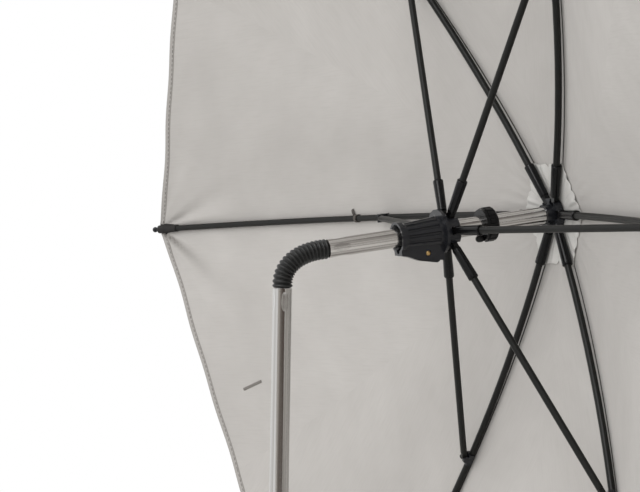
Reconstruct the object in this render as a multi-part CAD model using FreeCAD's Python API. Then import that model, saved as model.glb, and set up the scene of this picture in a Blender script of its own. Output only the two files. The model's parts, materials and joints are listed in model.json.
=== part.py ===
import FreeCAD, Part
import math
import os

# Pram parasol: a chromed stem with a gooseneck, a runner, six stretchers, six ribs and a canopy.
# Sizes are in millimetres and degrees. The stem stands on +Z with its foot at the origin, and the
# gooseneck bends towards +X.

# Clearances
fit_gap = 0.05
free_gap = 0.3

# Tubes
stem_length = 420.0
crown_station = 134.5
tube_radius = 5.0
tube_wall = 0.8
tube_bore = tube_radius - tube_wall

# Foot plug
plug_length = 17.0

# Crimp marks that hold the core in the tube ends
crimp_count = 4
crimp_turn = -4.0
crimp_start = 1.5
crimp_length = 10.5
crimp_width = 5.0
crimp_depth = 0.45
crimp_bow = crimp_length ** 2 / (8 * crimp_depth) + crimp_depth / 2

# Gooseneck, from the stem up: straight run, three bends, straight run
neck_run_low = 2.5
neck_turns = (32.0, 27.0, 22.5)
neck_radii = (14.0, 17.5, 32.0)
neck_run_high = 5.0
sleeve_ribs = 17
sleeve_rise = 0.3
sleeve_rib_height = 0.7
sleeve_wall = 0.8
rib_profile = ((0.0, 0), (0.25, 1), (0.55, 1), (0.8, 0))
core_gap = 0.8
core_seat = 16.0
sleeve_crest = tube_radius + sleeve_rise
sleeve_root = sleeve_crest - sleeve_rib_height
sleeve_bore = sleeve_root - sleeve_wall
core_radius = sleeve_bore - core_gap
core_end_gap = core_radius * math.tan(math.radians(max(neck_turns)) / 2) + free_gap

# Runner's bore and wall, which pass over the gooseneck's sleeve
runner_slack = 0.2
runner_wall = 1.6
runner_flare = 1.5
runner_length = 30.5
runner_bore = sleeve_crest + runner_slack

# Hubs on which ribs and stretchers turn
spoke_count = 6
first_spoke = 0.0
pin_radius = 0.6
eye_wall = 0.9
eye_clearance = 0.25
hub_wall = 0.55
hub_rim = 1.2
hub_roof_wall = 0.65
hub_lip_wall = 0.5
tongue_width = 3.8
tongue_side_gap = 0.2
pin_seat = 0.8
eye_radius = pin_radius + eye_wall
slot_floor = runner_bore + hub_wall
slot_width = tongue_width + 2 * tongue_side_gap
pin_length = slot_width + 2 * pin_seat
pivot_radius = slot_floor + eye_clearance + eye_radius
hub_radius = pivot_radius + hub_rim
hub_roof = eye_radius + eye_clearance + hub_roof_wall
hub_lip = eye_radius + hub_lip_wall

# Moulded root sockets, which widen towards a rounded mouth
socket_neck = 4.0
socket_wall = 0.6
socket_end_wall = 0.95
socket_round = 0.5
rod_seat = 8.0

# Ribs
rib_open_angle = 83.3
rib_socket_length = 24.0
rib_bend_radius = 935.0
rib_length = 379.5
rib_rod_radius = 1.9
tip_cap_length = 6.0
tip_cap_wall = 0.5
tip_seat = 3.0
tip_neck_radius = 0.9
tip_neck_length = 2.0
tip_ball_radius = 1.9

# Stretchers and the clips where they meet the ribs
joint_station = 158.0
stretcher_socket_length = 23.0
stretcher_rod_radius = 1.9
link_tongue_width = 2.2
link_tongue_length = 6.5
link_rod_end = 5.0
clip_pin_radius = 0.8
clip_eye_wall = 0.7
clip_cheek_wall = 1.2
clip_cheek_rim = 1.0
clip_side_gap = 0.2
clip_length = 7.0
clip_top = 0.8
clip_floor_wall = 0.5
clip_skirt = 0.6
link_eye_radius = clip_pin_radius + clip_eye_wall
clip_slot_width = link_tongue_width + 2 * clip_side_gap
clip_width = clip_slot_width + 2 * clip_cheek_wall
clip_slot_floor = rib_rod_radius + clip_floor_wall
clip_bottom = clip_slot_floor + clip_skirt
joint_drop = clip_slot_floor + link_eye_radius + free_gap
cheek_radius = clip_pin_radius + clip_cheek_rim

# Crown and its cap
crown_skirt_wall = 0.8
crown_skirt = 4.0
tube_stop_wall = 0.7
cap_stem_gap = 0.2
cap_stem_length = 10.0
cap_overhang = 0.7
cap_flange = 1.6
cap_height = 9.0
cap_bulge = 1.6
cap_spike_radius = 2.6
cap_spike_tip_radius = 1.8
cap_spike = 6.0
cap_stem_radius = tube_bore - cap_stem_gap
cap_radius = pivot_radius + cap_overhang
tube_stop = hub_roof - tube_stop_wall

# Canopy and its rosette
cloth_thickness = 0.5
lift_start = 30.0
lift_end = 180.0
cloth_hole_margin = 1.0
cloth_over = 2.0
hem_sag = 1.8
hem_pull = 0.35
gore_dip = 6.0
seam_gap = 0.3
layer_gap = 0.35
rosette_thickness = 0.3
rosette_radius = 24.5
cloth_hole = cap_stem_radius + cloth_hole_margin
cloth_lift_rib = rib_rod_radius + tip_cap_wall + free_gap
rosette_lift = rib_rod_radius + socket_end_wall + layer_gap
cloth_lift_crown = rosette_lift + rosette_thickness + layer_gap

# Stop collar and its screw
collar_gap = 16.4
collar_wall = 4.4
collar_length = 7.0
collar_lip_wall = 3.7
collar_lip = 1.8
collar_chamfer = 0.8
knurl_count = 14
knurl_radius = 1.0
knurl_depth = 0.6
screw_angle = 270.0
screw_radius = 1.0
screw_depth = 5.0
screw_head_radius = 1.9
screw_head = 4.0
collar_radius = tube_radius + collar_wall
screw_ring = tube_radius + collar_wall / 2

# Runner's outside: a flared mouth with a notch for the latch, a fluted sleeve, a flange and the hub
mouth_wall = 3.0
mouth_length = 2.6
mouth_funnel = 1.6
notch_under = 1.2
notch_radius = 1.9
notch_wall = 1.1
flute_count = 14
flute_radius = 0.85
flute_depth = 0.9
flute_margin = 2.0
flange_rim = 3.0
flange_length = 1.6
flange_from_pivot = 4.4
runner_hub_end = 3.4
body_radius_low = runner_bore + runner_wall
body_radius_high = body_radius_low + runner_flare
flange_radius = hub_radius + flange_rim

# Latch lever and its housing: distances from the runner's mouth, and depths under its bore
latch_pin_from_mouth = 15.4
latch_pin_under = 4.6
latch_pin_radius = 1.4
latch_width = 5.0
latch_side_gap = 0.2
latch_cheek_wall = 2.0
housing_toe = 4.0
housing_knee = 7.2
housing_heel = 9.6
lever_from_mouth = 3.4
lever_end_gap = 1.0
lever_tooth = 2.8
lever_tooth_width = 3.0
lever_tooth_gap = 0.45
lever_knee_from_mouth = 11.0
lever_toe = 4.8
lever_knee = 8.2
lever_heel = 11.1
lever_heel_round = 2.5
lever_under = 1.5
lever_heel_under = 3.2
latch_hole_radius = 2.2

os.makedirs("parts", exist_ok=True)

V = FreeCAD.Vector
X_AXIS = V(1, 0, 0)
Y_AXIS = V(0, 1, 0)
Z_AXIS = V(0, 0, 1)


def save(name, shape):
    shape.exportStep("parts/" + name + ".step")


def rod(start, end, radius, end_radius=None):
    along = end - start
    if end_radius is None or end_radius == radius:
        return Part.makeCylinder(radius, along.Length, start, along)
    return Part.makeCone(radius, end_radius, along.Length, start, along)


def block(low, high):
    size = high - low
    return Part.makeBox(size.x, size.y, size.z, low)


def turned(profile):
    """Solid of revolution about Z from (radius, height) corners."""
    points = [V(r, 0, z) for r, z in profile]
    wire = Part.makePolygon(points + [points[0]])
    return Part.Face(wire).revolve(V(0, 0, 0), Z_AXIS, 360)


def placed(shape, placement):
    copy = shape.copy()
    copy.transformShape(placement.toMatrix(), True)
    return copy


# Gooseneck centreline in the XZ plane: stations with a place and a heading from +Z
def neck_path():
    """Straight and curved stretches as (length, turn in degrees)."""
    bends = [(r * math.radians(a), a) for r, a in zip(neck_radii, neck_turns)]
    return [(neck_run_low, 0.0)] + bends + [(neck_run_high, 0.0)]


def step_along(place, heading, length, turn):
    """Place and heading after a stretch that turns evenly."""
    half = math.radians(turn) / 2
    chord = length if turn == 0 else length * math.sin(half) / half
    direction = math.radians(heading) + half
    return place + V(chord * math.sin(direction), 0, chord * math.cos(direction)), heading + turn


def neck_at(station):
    place, heading = V(0, 0, stem_length), 0.0
    for length, turn in neck_path():
        part = min(max(station, 0.0), length)
        if station <= length:
            return step_along(place, heading, part, turn * part / length)
        place, heading = step_along(place, heading, length, turn)
        station -= length
    return place, heading


neck_length = sum(length for length, turn in neck_path())
shaft_root, shaft_tilt = neck_at(neck_length)
shaft_place = FreeCAD.Placement(shaft_root, FreeCAD.Rotation(Y_AXIS, shaft_tilt))


def heading_vector(heading):
    angle = math.radians(heading)
    return V(math.sin(angle), 0, math.cos(angle))


def neck_vertices():
    """The points where the straight tangents of each bend meet: the neck's hinge points."""
    points = []
    station = neck_run_low
    for radius, turn in zip(neck_radii, neck_turns):
        place, heading = neck_at(station)
        points.append(place + heading_vector(heading) * (radius * math.tan(math.radians(turn) / 2)))
        station += radius * math.radians(turn)
    return points


# Tubes, foot plug and the core's seats
def crimped_tube(length, crimp_from_top):
    tube = rod(V(0, 0, 0), V(0, 0, length), tube_radius)
    tube = tube.cut(rod(V(0, 0, 0), V(0, 0, length), tube_bore))
    middle = crimp_start + crimp_length / 2
    level = length - middle if crimp_from_top else middle
    away = tube_radius - crimp_depth + crimp_bow
    dent = rod(V(away, -crimp_width / 2, level), V(away, crimp_width / 2, level), crimp_bow)
    for i in range(crimp_count):
        turn = FreeCAD.Placement(V(0, 0, 0), FreeCAD.Rotation(Z_AXIS, crimp_turn + i * 360.0 / crimp_count))
        tube = tube.cut(placed(dent, turn))
    return tube


save("lower_tube", crimped_tube(stem_length, True))
save("foot_plug", rod(V(0, 0, 0), V(0, 0, plug_length), tube_bore - fit_gap))


def ring_wire(station, radius):
    """Circle square to the neck, with its X axis held on world Y so that rings line up."""
    place, heading = neck_at(station)
    ahead = heading_vector(heading)
    turn = FreeCAD.Rotation(Y_AXIS, ahead.cross(Y_AXIS), ahead, "ZXY")
    circle = Part.makeCircle(radius)
    circle.Placement = FreeCAD.Placement(place, turn)
    return Part.Wire(circle)


def neck_sleeve():
    first = free_gap
    pitch = (neck_length - 2 * free_gap) / sleeve_ribs
    radii = (sleeve_root, sleeve_crest)
    rings = [(first + (i + share) * pitch, radii[level]) for i in range(sleeve_ribs)
             for share, level in rib_profile]
    rings.append((neck_length - free_gap, sleeve_root))
    outside = Part.makeLoft([ring_wire(s, r) for s, r in rings], True, True)
    bore = Part.makeLoft([ring_wire(s, sleeve_bore) for s, r in rings], True, True)
    return outside.cut(bore)


save("neck_sleeve", neck_sleeve())

hinge_points = neck_vertices()


def core_piece(start, end):
    along = end - start
    along.normalize()
    return rod(start + along * core_end_gap, end - along * core_end_gap, core_radius)


for number in (1, 2):
    save("neck_core_%d" % number, core_piece(hinge_points[number - 1], hinge_points[number]))

stem_end = V(0, 0, stem_length)
seat_low = stem_end - Z_AXIS * core_seat
stub_low = rod(seat_low, stem_end - Z_AXIS * free_gap, tube_bore - fit_gap)
stub_low = stub_low.fuse(rod(seat_low, hinge_points[0] - Z_AXIS * core_end_gap, core_radius))
save("neck_stub_lower", stub_low.removeSplitter())

shaft_axis = heading_vector(shaft_tilt)
seat_high = shaft_root + shaft_axis * core_seat
stub_high = rod(shaft_root + shaft_axis * free_gap, seat_high, tube_bore - fit_gap)
stub_high = stub_high.fuse(rod(hinge_points[2] + shaft_axis * core_end_gap, seat_high, core_radius))
save("neck_stub_upper", stub_high.removeSplitter())


# Spokes: each rib and stretcher lies in its own plane through the shaft, with X outwards and Z up the shaft
def spoke_placement(number):
    """From a spoke's plane to the row frame. Spoke 1 points to +Y and the others follow towards up."""
    angle = first_spoke + (number - 1) * 360.0 / spoke_count
    return shaft_place * FreeCAD.Placement(V(0, 0, 0), FreeCAD.Rotation(Z_AXIS, 90.0 + angle))


def spoke_turn(number):
    return FreeCAD.Placement(V(0, 0, 0), FreeCAD.Rotation(Z_AXIS, 90.0 + first_spoke
                                                          + (number - 1) * 360.0 / spoke_count))


spokes = range(1, spoke_count + 1)
crown_pivot = V(pivot_radius, 0, crown_station)


def plane_direction(angle):
    """Unit vector in a spoke's plane, at an angle from straight down the shaft."""
    turn = math.radians(angle)
    return V(math.sin(turn), 0, -math.cos(turn))


def rib_at(distance):
    """Point and angle of the rib's centreline at a distance from the crown pivot."""
    straight = min(distance, rib_socket_length)
    point = crown_pivot + plane_direction(rib_open_angle) * straight
    bent = distance - straight
    if bent <= 0:
        return point, rib_open_angle
    turn = math.degrees(bent / rib_bend_radius)
    half = math.radians(turn) / 2
    chord = bent * math.sin(half) / half
    return point + plane_direction(rib_open_angle - turn / 2) * chord, rib_open_angle - turn


def outer_side(angle):
    """Unit vector square to the rib, on the fabric's side."""
    turn = math.radians(angle)
    return V(math.cos(turn), 0, math.sin(turn))


joint_base, joint_angle = rib_at(joint_station)
joint_pin = joint_base - outer_side(joint_angle) * joint_drop
link_length = (joint_pin - crown_pivot).Length
runner_station = crown_station - 2 * (crown_station - joint_pin.z)
runner_pivot = V(pivot_radius, 0, runner_station)
runner_mouth = runner_station - runner_length
lever_start = runner_mouth + lever_from_mouth
latch_hole_station = lever_start + lever_tooth / 2

upper_tube = crimped_tube(crown_station + tube_stop - free_gap, False)
upper_tube = upper_tube.cut(rod(V(0, 0, latch_hole_station), V(2 * tube_radius, 0, latch_hole_station),
                                latch_hole_radius))
save("upper_tube", placed(upper_tube, shaft_place))


def across(centre, radius, width):
    """Cylinder along the spoke's tangential direction."""
    return rod(centre - Y_AXIS * (width / 2), centre + Y_AXIS * (width / 2), radius)


def along_frame(origin, direction):
    """Placement with its X axis along a direction of the spoke's plane and its Y axis tangential."""
    return FreeCAD.Placement(origin, FreeCAD.Rotation(direction, Y_AXIS, direction.cross(Y_AXIS), "XYZ"))


def root_socket(pivot, direction, length, rod_radius):
    """Flat tongue with an eye, swelling into a tapered socket with a bore for the rod."""
    outside = rod_radius + socket_end_wall
    socket = rod(V(socket_neck, 0, 0), V(length - socket_round, 0, 0), rod_radius + socket_wall, outside)
    socket = socket.fuse(rod(V(length - socket_round, 0, 0), V(length, 0, 0), outside, outside - socket_round))
    tongue = block(V(0, -tongue_width / 2, -eye_radius), V(rod_seat, tongue_width / 2, eye_radius))
    socket = socket.fuse(tongue).fuse(across(V(0, 0, 0), eye_radius, tongue_width))
    socket = socket.cut(rod(V(rod_seat, 0, 0), V(length, 0, 0), rod_radius + fit_gap))
    socket = socket.cut(across(V(0, 0, 0), pin_radius + fit_gap, tongue_width))
    return placed(socket.removeSplitter(), along_frame(pivot, direction))


def rib_rod(end):
    """Rod with a straight root in its socket and one long bend towards the stem."""
    straight_end, angle = rib_at(rib_socket_length)
    direction = plane_direction(angle)
    root = rod(rib_at(rod_seat + fit_gap)[0], straight_end, rib_rod_radius)
    section = Part.Face(Part.Wire(Part.makeCircle(rib_rod_radius, straight_end, direction)))
    centre = straight_end - outer_side(angle) * rib_bend_radius
    turn = math.degrees((end - rib_socket_length) / rib_bend_radius)
    return root.fuse(section.revolve(centre, Y_AXIS, turn)).removeSplitter()


def rib_tip():
    """Cap on the rod's end, with a thin neck and a ball."""
    start, angle = rib_at(rib_length - tip_cap_length)
    cap = rod(V(0, 0, 0), V(tip_cap_length, 0, 0), rib_rod_radius + tip_cap_wall)
    ball = V(tip_cap_length + tip_neck_length + tip_ball_radius, 0, 0)
    cap = cap.fuse(rod(V(tip_seat, 0, 0), ball, tip_neck_radius)).fuse(Part.makeSphere(tip_ball_radius, ball))
    cap = cap.cut(rod(V(0, 0, 0), V(tip_seat, 0, 0), rib_rod_radius + fit_gap))
    return placed(cap.removeSplitter(), along_frame(start, plane_direction(angle)))


def rib_clip():
    """Clip that grips the rib from inside, with two cheeks and the stretcher's pin."""
    half_l, half_w = clip_length / 2, clip_width / 2
    pin = V(0, 0, -joint_drop)
    clip = block(V(-half_l, -half_w, -clip_bottom), V(half_l, half_w, clip_top))
    clip = clip.fuse(block(V(-cheek_radius, -half_w, -joint_drop), V(cheek_radius, half_w, -clip_bottom)))
    clip = clip.fuse(across(pin, cheek_radius, clip_width))
    deep = joint_drop + 2 * cheek_radius
    clip = clip.cut(block(V(-half_l, -clip_slot_width / 2, -deep), V(half_l, clip_slot_width / 2, -clip_slot_floor)))
    clip = clip.cut(rod(V(-half_l, 0, 0), V(half_l, 0, 0), rib_rod_radius + fit_gap))
    clip = clip.fuse(across(pin, clip_pin_radius, clip_width))
    direction = plane_direction(joint_angle)
    frame = FreeCAD.Placement(joint_base, FreeCAD.Rotation(direction, Y_AXIS, outer_side(joint_angle), "XYZ"))
    return placed(clip.removeSplitter(), frame)


link_direction = joint_pin - runner_pivot
link_direction.normalize()


def stretcher_rod():
    """Rod from its root socket to a flattened end with an eye for the clip's pin."""
    rod_end = link_length - link_rod_end
    half_w = link_tongue_width / 2
    link = rod(V(rod_seat + fit_gap, 0, 0), V(rod_end, 0, 0), stretcher_rod_radius)
    tongue = block(V(link_length - link_tongue_length, -half_w, -link_eye_radius),
                   V(link_length, half_w, link_eye_radius))
    link = link.fuse(tongue).fuse(across(V(link_length, 0, 0), link_eye_radius, link_tongue_width))
    link = link.cut(across(V(link_length, 0, 0), clip_pin_radius + fit_gap, link_tongue_width))
    return placed(link.removeSplitter(), along_frame(runner_pivot, link_direction))


# Canopy panels: each hangs on one rib and reaches half a gore to both sides
def cloth_lift(distance):
    """Height of the fabric over the rib's centreline: over the sockets first, then down on the rod."""
    share = min(max((distance - lift_start) / (lift_end - lift_start), 0.0), 1.0)
    ease = share * share * (3 - 2 * share)
    return cloth_lift_crown + (cloth_lift_rib - cloth_lift_crown) * ease


cloth_start = cloth_hole - pivot_radius
cloth_end = rib_length + cloth_over


def cloth_point(across_share, down_share, lift):
    """Point of a panel: across from the rib (0) to mid gore (1), and down from the crown to the hem."""
    side = abs(across_share)
    end = cloth_end - hem_sag * (1 - (1 - min(side / hem_pull, 1.0)) ** 2)
    distance = cloth_start + (end - cloth_start) * down_share
    free_share = max(0.0, (distance - rosette_radius) / (end - rosette_radius))
    dip = gore_dip * math.sin(side * math.pi / 2) ** 2 * math.sin(free_share * math.pi) ** 2
    point, angle = rib_at(distance)
    point = point + outer_side(angle) * (cloth_lift(distance) + lift - dip)
    radius = point.x
    reach = min(side, 1 - seam_gap / radius)
    half_gore = math.radians(180.0 / spoke_count)
    inward = 1 - reach * math.sin(half_gore) ** 2
    sideways = reach * math.sin(half_gore) * math.cos(half_gore)
    return V(radius * inward, math.copysign(radius * sideways, across_share), point.z)


def cloth_section(across_share):
    """Thin closed outline of the panel at one place across it."""
    steps = 14
    edges = []
    for lift in (0.0, cloth_thickness):
        curve = Part.BSplineCurve()
        curve.interpolate([cloth_point(across_share, i / steps, lift) for i in range(steps + 1)])
        edges.append(curve)
    inner, outer = edges
    ends = [Part.LineSegment(inner.EndPoint, outer.EndPoint), Part.LineSegment(outer.StartPoint, inner.StartPoint)]
    outer.reverse()
    return Part.Wire([inner.toShape(), ends[0].toShape(), outer.toShape(), ends[1].toShape()])


def canopy_panel():
    shares = (-1.0, -0.66, -0.33, 0.0, 0.33, 0.66, 1.0)
    return Part.makeLoft([cloth_section(s) for s in shares], True, True)


shapes = {
    "rib": rib_rod(rib_length - tip_cap_length + tip_seat - fit_gap),
    "rib_socket": root_socket(crown_pivot, plane_direction(rib_open_angle), rib_socket_length, rib_rod_radius),
    "rib_tip": rib_tip(),
    "rib_joint": rib_clip(),
    "canopy_panel": canopy_panel(),
    "stretcher": stretcher_rod(),
    "stretcher_socket": root_socket(runner_pivot, link_direction, stretcher_socket_length, stretcher_rod_radius),
}
for base, shape in shapes.items():
    for spoke in spokes:
        save("%s_%d" % (base, spoke), placed(shape, spoke_placement(spoke)))


# Hubs: slots for the tongues and short pins across the slots
def spoke_slots(station, low, high):
    slot = block(V(slot_floor, -slot_width / 2, station + low), V(2 * hub_radius, slot_width / 2, station + high))
    return [placed(slot, spoke_turn(spoke)) for spoke in spokes]


def hub_pins(station, radius, length):
    pin = across(V(pivot_radius, 0, station), radius, length)
    return [placed(pin, spoke_turn(spoke)) for spoke in spokes]


def crown():
    top, low = crown_station + hub_roof, crown_station - hub_lip
    skirt = tube_radius + fit_gap + crown_skirt_wall
    body = turned([(cap_stem_radius + fit_gap, top), (cap_stem_radius + fit_gap, crown_station + tube_stop),
                   (tube_radius + fit_gap, crown_station + tube_stop), (tube_radius + fit_gap, low - crown_skirt),
                   (skirt, low - crown_skirt), (skirt, low), (hub_radius, low),
                   (hub_radius, top)])
    for slot in spoke_slots(crown_station, -2 * hub_lip, eye_radius + eye_clearance):
        body = body.cut(slot)
    for hole in hub_pins(crown_station, pin_radius + fit_gap, pin_length + fit_gap):
        body = body.cut(hole)
    return body


save("crown", placed(crown(), shaft_place))
save("crown_pins", placed(Part.makeCompound(hub_pins(crown_station, pin_radius, pin_length)), shaft_place))

cap_base = cloth_point(0, 0, cloth_thickness).z + free_gap
cap_edge = cap_base + cap_flange
cap_top = cap_edge + cap_height


def crown_cap():
    """Domed cap with a short spike, on a stem that sits in the tube."""
    bottom = cap_base - cap_stem_length
    middle = V((cap_radius + cap_spike_radius) / 2 + cap_bulge, 0, (cap_edge + cap_top) / 2)
    corners = [V(cap_spike_radius, 0, cap_top), V(cap_spike_tip_radius, 0, cap_top + cap_spike),
               V(0, 0, cap_top + cap_spike), V(0, 0, bottom), V(cap_stem_radius, 0, bottom),
               V(cap_stem_radius, 0, cap_base), V(cap_radius, 0, cap_base), V(cap_radius, 0, cap_edge)]
    edges = [Part.Arc(corners[-1], middle, corners[0]).toShape()]
    edges += [Part.LineSegment(a, b).toShape() for a, b in zip(corners, corners[1:])]
    return Part.Face(Part.Wire(Part.sortEdges(edges)[0])).revolve(V(0, 0, 0), Z_AXIS, 360)


save("crown_cap", placed(crown_cap(), shaft_place))


# Rosette: a thin six-sided cone of fabric between the sockets and the canopy
def hexagon(radius, height):
    corners = [spoke_turn(spoke).multVec(V(radius, 0, height)) for spoke in spokes]
    return Part.makePolygon(corners + [corners[0]])


def canopy_rosette():
    def hexagon_at(distance, lift):
        point, angle = rib_at(distance)
        return point + outer_side(angle) * lift

    near, far = hexagon_at(-pivot_radius + fit_gap, rosette_lift), hexagon_at(rosette_radius, rosette_lift)
    under = Part.makeLoft([hexagon(far.x, far.z), hexagon(near.x, near.z)], True, True)
    over = under.copy()
    over.translate(V(0, 0, rosette_thickness))
    floor = far.z - rosette_thickness
    rise = V(0, 0, cap_top - floor)
    plate = Part.Face(hexagon(rosette_radius, floor)).extrude(rise)
    hole = rod(V(0, 0, floor), V(0, 0, floor) + rise, cloth_hole)
    return over.cut(under).common(plate).cut(hole)


save("canopy_rosette", placed(canopy_rosette(), shaft_place))


# Stop collar on the upper tube, with its screw on the runner's side
collar_station = runner_station + runner_hub_end + collar_gap


def stop_collar():
    low, high = collar_station, collar_station + collar_length
    step = low + collar_lip
    lip_radius = tube_radius + collar_lip_wall
    bevel = collar_radius - collar_chamfer
    ring = turned([(tube_radius + fit_gap, low), (lip_radius, low), (lip_radius, step), (collar_radius, step),
                   (collar_radius, high - collar_chamfer), (bevel, high), (tube_radius + fit_gap, high)])
    groove_ring = collar_radius + knurl_radius - knurl_depth
    for i in range(knurl_count):
        angle = 2 * math.pi * (i + 0.5) / knurl_count
        foot = V(groove_ring * math.cos(angle), groove_ring * math.sin(angle), step)
        ring = ring.cut(rod(foot, foot + Z_AXIS * (high - step), knurl_radius))
    return ring


screw_turn = math.radians(90.0 + screw_angle)
screw_face = V(screw_ring * math.cos(screw_turn), screw_ring * math.sin(screw_turn), collar_station)
screw_end = screw_face + Z_AXIS * screw_depth
screw_hole = rod(screw_face, screw_end + Z_AXIS * fit_gap, screw_radius + fit_gap)
save("stop_collar", placed(stop_collar().cut(screw_hole), shaft_place))
screw_top = screw_face - Z_AXIS * (screw_head - screw_head_radius)
collar_screw = rod(screw_top, screw_face - Z_AXIS * fit_gap, screw_head_radius)
collar_screw = collar_screw.fuse(Part.makeSphere(screw_head_radius, screw_top))
collar_screw = collar_screw.fuse(rod(screw_top, screw_end, screw_radius))
save("collar_screw", placed(collar_screw.removeSplitter(), shaft_place))


# Runner with its latch housing under the shaft
def side_plate(outline, width):
    """Plate square to the tangential direction, from (station, depth) corners."""
    points = [V(depth, -width / 2, station) for station, depth in outline]
    return Part.Face(Part.makePolygon(points + [points[0]])).extrude(V(0, width, 0))


latch_pin_centre = V(runner_bore + latch_pin_under, 0, runner_mouth + latch_pin_from_mouth)
housing_width = latch_width + 2 * (latch_side_gap + latch_cheek_wall)
flange_face = runner_station - flange_from_pivot - flange_length
knee_station = runner_mouth + lever_knee_from_mouth


def runner_body():
    lip_end = runner_mouth + mouth_length
    flange_back = flange_face + flange_length
    end = runner_station + runner_hub_end
    mouth_radius = runner_bore + mouth_wall
    funnel = runner_bore + mouth_funnel
    body = turned([(0, runner_mouth), (mouth_radius, runner_mouth), (mouth_radius, lip_end),
                   (body_radius_low, lip_end), (body_radius_high, flange_face), (flange_radius, flange_face),
                   (flange_radius, flange_back), (hub_radius, flange_back), (hub_radius, end), (0, end)])
    groove = flute_radius - flute_depth
    for i in range(flute_count):
        turn = FreeCAD.Rotation(Z_AXIS, (i + 0.5) * 360.0 / flute_count)
        foot = turn.multVec(V(body_radius_low + groove, 0, lip_end + flute_margin))
        head = turn.multVec(V(body_radius_high + groove, 0, flange_face - flute_margin))
        body = body.cut(rod(foot, head, flute_radius))
    housing = side_plate([(runner_mouth, 0), (runner_mouth, runner_bore + housing_toe),
                          (knee_station, runner_bore + housing_knee), (flange_face, runner_bore + housing_heel),
                          (flange_face, 0)], housing_width)
    notch = V(runner_bore + notch_under, 0, runner_mouth)
    body = body.fuse(housing).fuse(rod(notch, notch + Z_AXIS * mouth_length, notch_radius + notch_wall))
    slot_half = latch_width / 2 + latch_side_gap
    slot = block(V(0, -slot_half, lever_start - 2 * free_gap),
                 V(runner_bore + 2 * lever_heel, slot_half, flange_face))
    body = body.cut(slot).cut(rod(V(0, 0, runner_mouth), V(0, 0, end), runner_bore))
    body = body.cut(rod(V(0, 0, runner_mouth), V(0, 0, lip_end), funnel, runner_bore))
    body = body.cut(rod(notch, notch + Z_AXIS * lever_from_mouth, notch_radius))
    body = body.cut(across(latch_pin_centre, latch_pin_radius + fit_gap, 2 * housing_width))
    for cut in spoke_slots(runner_station, -eye_radius - eye_clearance, 2 * runner_hub_end):
        body = body.cut(cut)
    for hole in hub_pins(runner_station, pin_radius + fit_gap, pin_length + fit_gap):
        body = body.cut(hole)
    return body.removeSplitter()


save("runner_body", placed(runner_body(), shaft_place))
save("runner_pins", placed(Part.makeCompound(hub_pins(runner_station, pin_radius, pin_length)), shaft_place))
save("latch_pin", placed(across(latch_pin_centre, latch_pin_radius, housing_width + 2 * free_gap), shaft_place))


def latch_lever():
    """Wedge that turns on its pin, with a tooth at the toe that drops in the tube's hole."""
    lever_end = flange_face - lever_end_gap
    heel = V(runner_bore + lever_heel, 0, lever_end)
    lever = side_plate([(lever_start, runner_bore + lever_under), (lever_end, runner_bore + lever_heel_under),
                        (heel.z, heel.x), (knee_station, runner_bore + lever_knee),
                        (lever_start, runner_bore + lever_toe)], latch_width)
    corner = [e for e in lever.Edges if e.distToShape(Part.Vertex(heel))[0] < fit_gap
              and abs(e.tangentAt(e.FirstParameter).y) > 0.9]
    lever = lever.makeFillet(lever_heel_round, corner)
    tooth = block(V(tube_radius + lever_tooth_gap, -lever_tooth_width / 2, lever_start),
                  V(runner_bore + lever_toe, lever_tooth_width / 2, lever_start + lever_tooth))
    lever = lever.fuse(tooth)
    return lever.cut(across(latch_pin_centre, latch_pin_radius + fit_gap, latch_width)).removeSplitter()


save("latch_lever", placed(latch_lever(), shaft_place))
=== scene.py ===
import json
import math

import bmesh
import bpy
import numpy as np
from mathutils import Matrix, Vector

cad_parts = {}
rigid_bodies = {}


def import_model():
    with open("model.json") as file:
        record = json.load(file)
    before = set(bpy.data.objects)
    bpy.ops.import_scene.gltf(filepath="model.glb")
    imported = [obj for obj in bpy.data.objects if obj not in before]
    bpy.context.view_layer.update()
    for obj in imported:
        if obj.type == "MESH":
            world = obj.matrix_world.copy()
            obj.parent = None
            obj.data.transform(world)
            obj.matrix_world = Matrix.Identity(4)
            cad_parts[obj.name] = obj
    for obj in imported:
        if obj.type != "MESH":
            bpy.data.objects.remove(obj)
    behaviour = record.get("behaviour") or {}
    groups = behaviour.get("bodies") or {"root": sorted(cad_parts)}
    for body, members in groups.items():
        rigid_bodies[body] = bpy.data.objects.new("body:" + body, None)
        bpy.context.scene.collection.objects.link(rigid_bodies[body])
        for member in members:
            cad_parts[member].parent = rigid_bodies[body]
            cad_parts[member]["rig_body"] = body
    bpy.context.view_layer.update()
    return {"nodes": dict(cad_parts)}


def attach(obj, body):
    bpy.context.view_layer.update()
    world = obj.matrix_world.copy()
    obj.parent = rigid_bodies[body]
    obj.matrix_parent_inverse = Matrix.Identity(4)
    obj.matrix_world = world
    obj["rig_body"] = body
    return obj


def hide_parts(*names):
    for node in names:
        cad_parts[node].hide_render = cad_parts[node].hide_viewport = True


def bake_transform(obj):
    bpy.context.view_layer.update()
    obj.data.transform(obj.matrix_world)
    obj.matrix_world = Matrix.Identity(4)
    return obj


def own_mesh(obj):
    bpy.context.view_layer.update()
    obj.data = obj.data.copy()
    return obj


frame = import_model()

nodes = frame["nodes"]
scene = bpy.context.scene
scene.view_settings.view_transform = "Standard"


# Studio: a pale floor under the stem's foot, a white surround and large soft lamps. The surround and the far
# floor are white to the eye and to shiny metal, and a plain soft light to everything else.
def linear(hex_colour):
    """Linear RGBA from an sRGB hex value."""
    values = [int(hex_colour[i:i + 2], 16) / 255 for i in (1, 3, 5)]
    return tuple(v / 12.92 if v <= 0.04045 else ((v + 0.055) / 1.055) ** 2.4 for v in values) + (1.0,)


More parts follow.
